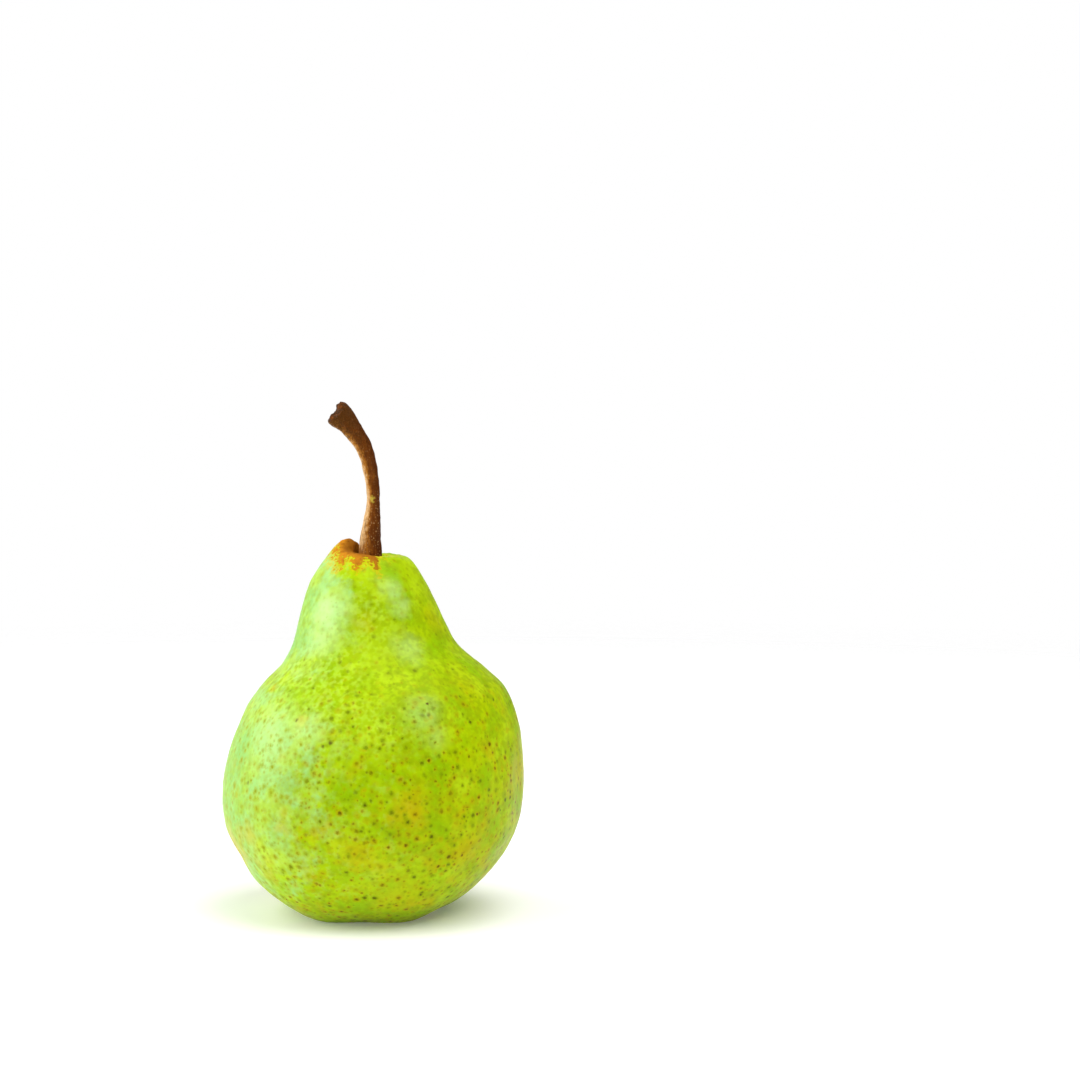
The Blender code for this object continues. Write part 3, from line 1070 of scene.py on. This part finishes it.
basin_middle = np.mean(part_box("calyx_disc"), axis=0) / MM
radius, height = through(DISC_PROFILE, np.linspace(0, len(DISC_PROFILE) - 1, DISC_ROWS)).T
turn = turns(DISC_AROUND)
reach = radius[:, None] * (1.0 + DISC_LOBES * np.cos(LOBES * (turn - LOBE_AZIMUTH)))
disc_rings = [reach * np.cos(turn), reach * np.sin(turn), height[:, None] + 0 * reach]
disc_rings = basin_middle + np.stack(disc_rings, axis=-1)
disc_rings[..., 2] += 0.04 * plane_waves(disc_rings, 0.5, 1.2, 30, seed=21)
disc_top, disc_foot = basin_middle + [0, 0, 0.75], basin_middle + [0, 0, -0.2]
disc_mesh = mesh_from_rings("calyx_eye", disc_top, disc_rings, disc_foot)
disc_mesh.materials.append(dried.material)
add_piece("calyx_eye", disc_mesh, "dried_calyx", "calyx_disc")

# %% [markdown]
# ## The sepals
#
# Five narrow leaves that have dried brown and curled. Each is a sheet that follows a middle line
# outwards and down, tapers to a point, cups, and wrinkles. A Solidify modifier gives it its paper
# thickness. Each differs a little in length, curl and twist, from a fixed seed.

# %% Make the sepals
SEPAL_LINE = (  # reach from the basin's middle, height and width, in mm
    (1.6, 4.35, 1.9),
    (3.0, 4.30, 2.2),
    (4.2, 3.60, 1.9),
    (5.0, 2.50, 1.2),
    (5.3, 1.45, 0.15),
)
SEPAL_LENGTHWAYS, SEPAL_CROSSWAYS = 36, 16
SEPAL_WALL = 0.25  # mm


def sepal_sheet(azimuth, chance):
    """Grid (along, across): reach, height and width run along SEPAL_LINE; the height loses 0.35
    side^2 for the cup and gains twist * side * along; wrinkles of 0.06 mm."""
    along, side = np.meshgrid(
        np.linspace(0, 1, SEPAL_LENGTHWAYS), np.linspace(-1, 1, SEPAL_CROSSWAYS), indexing="ij"
    )
    reach, height, width = np.moveaxis(through(SEPAL_LINE, along * (len(SEPAL_LINE) - 1)), -1, 0)
    twist, curl, sway = chance.uniform(-0.35, 0.35, 3)
    sideways = side * width / 2 + sway * along**2
    foot = SEPAL_LINE[0][0]
    reach = foot + (reach - foot) * (1.0 + 0.12 * curl)
    height = height - 0.35 * side**2 + twist * side * along + 0.5 * curl * along
    x = basin_middle[0] + reach * np.cos(azimuth) - sideways * np.sin(azimuth)
    y = basin_middle[1] + reach * np.sin(azimuth) + sideways * np.cos(azimuth)
    sheet = np.stack([x, y, height], axis=-1)
    sheet[..., 2] += 0.06 * plane_waves(sheet, 0.8, 2.0, 24, seed=int(np.degrees(azimuth)) % 360)
    return sheet


def sheet_mesh(name, sheet):
    """Mesh of quads over a grid of points in mm."""
    rows, columns = sheet.shape[:2]
    first = (np.arange(rows - 1)[:, None] * columns + np.arange(columns - 1)).reshape(-1, 1)
    faces = first + np.array([0, columns, columns + 1, 1])
    return new_mesh(name, sheet.reshape(-1, 3), faces.tolist())


chance_of_sepals = np.random.default_rng(31)
for number in range(1, LOBES + 1):
    azimuth = LOBE_AZIMUTH + 2 * np.pi / LOBES * number
    mesh = sheet_mesh(f"dried_sepal_{number}", sepal_sheet(azimuth, chance_of_sepals))
    mesh.materials.append(dried.material)
    sepal = add_piece(f"dried_sepal_{number}", mesh, "dried_calyx", f"sepal_{number}")
    wall = sepal.modifiers.new("thickness", "SOLIDIFY")
    wall.thickness = SEPAL_WALL * MM
    wall.offset = 0.0

# %% [markdown]
# ## The stamens
#
# Fifteen dried threads, each a thin tube that wanders and ends in a small knob. All of them make
# one tuft, so they share one mesh. Each stands 2.4 radians on from the last, so that no two are in
# line.

# %% Make the stamens
THREADS = 15
THREAD_TURN = 2.4  # radians


def thread_rings(start, tip, chance, rows=22, around=10):
    """Tube from start to tip: radius 0.09 mm, growing to 0.20 mm in a knob near the tip, and a
    bend that grows as along (1 - along)."""
    along = np.linspace(0.0, 1.0, rows)
    bend = chance.normal(size=3) * 0.55
    middle = start + (tip - start) * along[:, None] + bend * (along * (1 - along))[:, None]
    radius = 0.09 + 0.11 * bell(along, 0.93, 0.07)
    return carried(np.column_stack([middle, radius]), 1.0, turns(around))[0]


chance_of_threads = np.random.default_rng(41)
tuft_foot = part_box("stamen_tuft")[0][2] / MM
tuft_corners, tuft_faces = [], []
for turn in np.arange(THREADS) * THREAD_TURN:
    spread = 0.25 + 0.55 * chance_of_threads.random()
    outwards = np.array([np.cos(turn), np.sin(turn), 0.0])
    start = basin_middle + 0.5 * spread * outwards + [0, 0, -0.1]
    tip = basin_middle + 1.35 * spread * outwards
    tip[2] = tuft_foot + 0.3 + 0.6 * chance_of_threads.random()
    rings = thread_rings(start, tip, chance_of_threads)[::-1]
    base = sum(len(block) for block in tuft_corners)
    tuft_corners.append(np.vstack([rings[0].mean(0), rings[-1].mean(0), rings.reshape(-1, 3)]))
    tuft_faces += ring_faces(*rings.shape[:2], base)
tuft_mesh = new_mesh("dried_stamens", np.vstack(tuft_corners), tuft_faces)
tuft_mesh.materials.append(dried.material)
add_piece("dried_stamens", tuft_mesh, "dried_calyx", "stamen_tuft")

# %% [markdown]
# ## The stage
#
# A plain pale floor, on which the pear throws a soft shadow. The floor's edge would draw a line
# behind the pear, so it turns transparent towards its rim and melts into the white surround.

# %% Floor
FLOOR_RADIUS = 0.80  # metres
FLOOR_CORNERS = 96
FLOOR_GREY = (0.93, 0.93, 0.93)
WHITE = (1.0, 1.0, 1.0, 1.0)

turn = turns(FLOOR_CORNERS)
floor_rim = FLOOR_RADIUS * np.stack([np.cos(turn), np.sin(turn), 0 * turn], axis=-1)
floor_mesh = bpy.data.meshes.new("floor")
floor_mesh.from_pydata(floor_rim.tolist(), [], [tuple(range(FLOOR_CORNERS))])
floor = in_scene("floor", floor_mesh)

paper = Finish("pale_floor", FLOOR_GREY)
paper.put(Roughness=0.9, Specular_IOR_Level=0.1, Emission_Color=WHITE, Emission_Strength=0.12)
from_middle = paper.distance((0.0, 0.0, 0.0))
gone = paper.fade(from_middle, 0.5 * FLOOR_RADIUS / MM, 0.9 * FLOOR_RADIUS / MM)
clear = paper.add("ShaderNodeBsdfTransparent").outputs[0]
faded = paper.add("ShaderNodeMixShader", {0: gone, 1: paper.shader.outputs[0], 2: clear}).outputs[0]
paper.tree.links.new(faded, paper.tree.nodes["Material Output"].inputs["Surface"])
floor_mesh.materials.append(paper.material)
paper.report()

# %% [markdown]
# ## The surround
#
# Glossy skin mirrors its surroundings, so these are arranged like the walls of a studio: bright
# behind the pear and on its left, dark in front and on its right. Nothing bright is mirrored in
# the middle of the fruit, so its colour stays deep. The camera itself sees plain white.

# %% Surround
SURROUND_DARK, SURROUND_BRIGHT, SURROUND_SEEN = 0.15, 0.85, 1.0
BRIGHT_SIDE = (-0.9, 0.45, 0.0)

world = bpy.data.worlds.new("studio")
bpy.context.scene.world = world
world.use_nodes = True
sky = world.node_tree
sky.nodes.clear()
heading = add_node(sky, "ShaderNodeTexCoord").outputs["Generated"]
inputs = {0: heading, 1: BRIGHT_SIDE}
towards = add_node(sky, "ShaderNodeVectorMath", inputs, operation="DOT_PRODUCT").outputs["Value"]
inputs = {"Value": towards, "From Min": 0.0, "From Max": 0.8}
inputs |= {"To Min": SURROUND_DARK, "To Max": SURROUND_BRIGHT}
mirrored = add_node(sky, "ShaderNodeMapRange", inputs).outputs["Result"]
seen = add_node(sky, "ShaderNodeLightPath").outputs["Is Camera Ray"]
strength = add_node(sky, "ShaderNodeMix", {0: seen, 2: mirrored, 3: SURROUND_SEEN}).outputs[0]
air = add_node(sky, "ShaderNodeBackground", {"Color": WHITE, "Strength": strength}).outputs[0]
add_node(sky, "ShaderNodeOutputWorld", {"Surface": air})
print("nodes of the surround:", len(sky.nodes))

# %% [markdown]
# ## The lights
#
# One large panel on the left makes part of the broad pale sheen down that side, and one overhead
# makes the smaller one on the shoulder; both sheens are also painted into the skin's colour. A
# small lamp would give a hard shadow and a white dot on the skin.

# %% Lights
PANELS = (  # name, place, width and height in metres, radiance
    ("left_panel", (-0.75, 0.0, 0.48), 1.30, 1.00, 1.8),
    ("top_panel", (0.35, -0.25, 1.0), 1.0, 1.0, 3.8),
)


def panel(name, place, width, tall, radiance):
    """A soft rectangular light that faces the pear; its power is radiance * pi * area."""
    light = bpy.data.lights.new(name, "AREA")
    light.shape = "RECTANGLE"
    light.size = width
    light.size_y = tall
    light.energy = radiance * np.pi * width * tall
    lamp = in_scene(name, light)
    lamp.location = place
    aim = Vector((cad_low + cad_high) / 2) - Vector(place)
    lamp.rotation_euler = aim.to_track_quat("-Z", "Y").to_euler()
    print(name, "watts:", round(light.energy, 2))


for row in PANELS:
    panel(*row)

# %% [markdown]
# ## The camera
#
# A portrait lens about eight pear widths away keeps the pear's proportions. A wide lens close by
# would swell the belly. The camera stands a little above the stem's tip, looks slightly down, and
# turns past the pear on its right, so that the fruit stands left in the picture.

# %% Camera
LENS, SENSOR = 85.0, 36.0  # mm
CAMERA_PLACE = (0.0, -0.62, 0.1342)  # metres
LOOKS_DOWN, LOOKS_RIGHT = 4.0, 3.77  # degrees

lens = bpy.data.cameras.new("camera")
lens.lens = LENS
lens.sensor_width = SENSOR
lens.clip_start = 0.01
camera = in_scene("camera", lens)
camera.location = CAMERA_PLACE
camera.rotation_euler = (np.radians(90 - LOOKS_DOWN), 0.0, -np.radians(LOOKS_RIGHT))
bpy.context.scene.camera = camera
bpy.context.scene.view_settings.view_transform = "Standard"
print("angle of view, degrees:", round(float(np.degrees(lens.angle)), 1))

# %% [markdown]
# ## The box
#
# The modelled pear has to fill the same box as the frame's solids.
